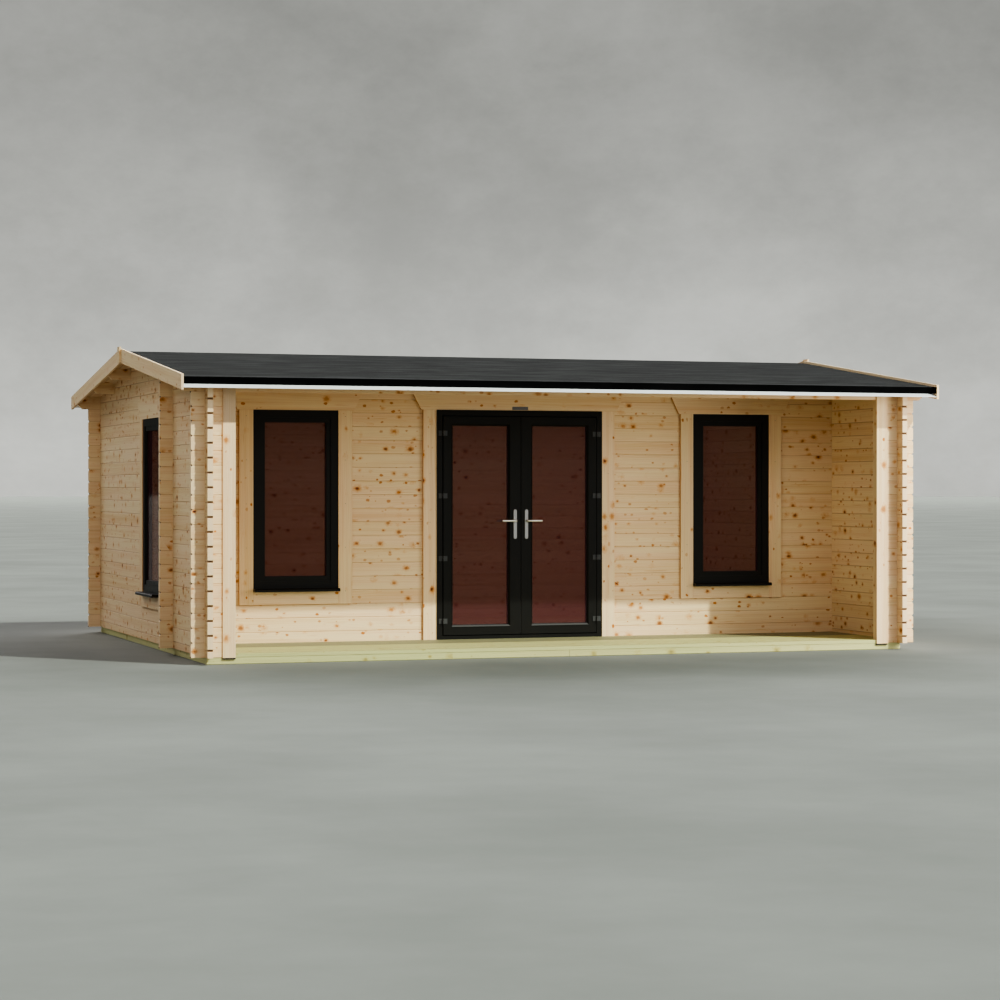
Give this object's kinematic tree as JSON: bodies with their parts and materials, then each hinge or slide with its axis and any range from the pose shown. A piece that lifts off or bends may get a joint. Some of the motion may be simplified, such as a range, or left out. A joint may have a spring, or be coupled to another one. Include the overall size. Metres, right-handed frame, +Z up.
{
  "type": "log cabin",
  "caption": "Timber log cabin with a shallow gable roof, recessed front wall, veranda, glazed double doors and side windows",
  "frame": {"origin": "On the ground midway between the gables and under the ridge: the bottom centre of the bounding box.", "axes": "+X along the cabin's width, to the right seen from the front; +Y from the front to the back; +Z up."},
  "size_m": [6.492, 5.148, 2.57],
  "materials": {
    "spruce": "planed bare spruce",
    "treated_timber": "pressure treated, greenish",
    "roof_felt": "dark grey sheet with a fine grain",
    "white_metal": "white painted strip",
    "black_frame": "black satin frame profile",
    "hinge_metal": "dark grey hinge",
    "satin_metal": "satin silver",
    "glass": "clear double glazing"
  },
  "bodies": {
    "cabin": {"cross_bearers": "treated_timber", "floor_joists": "treated_timber", "veranda_deck": "treated_timber", "interior_floor": "spruce", "purlins": "spruce", "front_beam": "spruce", "rear_beam": "spruce", "left_side_wall": "spruce", "right_side_wall": "spruce", "rear_wall": "spruce", "front_wall_left": "spruce", "front_wall_right": "spruce", "front_wall_over_door": "spruce", "left_stub_wall": "spruce", "right_stub_wall": "spruce", "left_end_post": "spruce", "right_end_post": "spruce", "roof_boards_front": "spruce", "roof_boards_rear": "spruce", "front_barge_boards": "spruce", "rear_barge_boards": "spruce", "gable_joint_covers": "spruce", "front_casings": "spruce", "side_casings": "spruce", "eave_battens": "spruce", "roof_felt": "roof_felt", "eave_drips": "white_metal", "door_head": "black_frame", "door_left_jamb": "black_frame", "door_right_jamb": "black_frame", "door_threshold": "black_frame", "left_front_window": "black_frame", "right_front_window": "black_frame", "left_side_window": "black_frame", "right_side_window": "black_frame", "frame_hinges": "hinge_metal", "window_glass": "glass"},
    "left_door": {"left_leaf_frame": "black_frame", "left_leaf_glass": "glass", "left_leaf_hinges": "hinge_metal", "left_handle_plates": "satin_metal"},
    "right_door": {"right_leaf_frame": "black_frame", "right_leaf_glass": "glass", "right_leaf_hinges": "hinge_metal", "right_handle_plates": "satin_metal"},
    "left_lever": {"left_lever": "satin_metal"},
    "right_lever": {"right_lever": "satin_metal"}
  },
  "joints": [
    {"name": "left_door_hinge", "type": "hinge", "parent": "cabin", "child": "left_door", "pos_m": [-0.695, -1.16, 1], "axis": [0, 0, -1], "range_deg": [0, 100]},
    {"name": "right_door_hinge", "type": "hinge", "parent": "cabin", "child": "right_door", "pos_m": [0.695, -1.16, 1], "axis": [0, 0, 1], "range_deg": [0, 100]},
    {"name": "left_lever_turn", "type": "hinge", "parent": "left_door", "child": "left_lever", "pos_m": [-0.051, -1.147, 1.084], "axis": [0, -1, 0], "range_deg": [0, 45], "stiffness_Nm_per_rad": 0.8, "springref_deg": -34.38},
    {"name": "right_lever_turn", "type": "hinge", "parent": "right_door", "child": "right_lever", "pos_m": [0.051, -1.147, 1.084], "axis": [0, 1, 0], "range_deg": [0, 45], "stiffness_Nm_per_rad": 0.8, "springref_deg": -34.38}
  ]
}
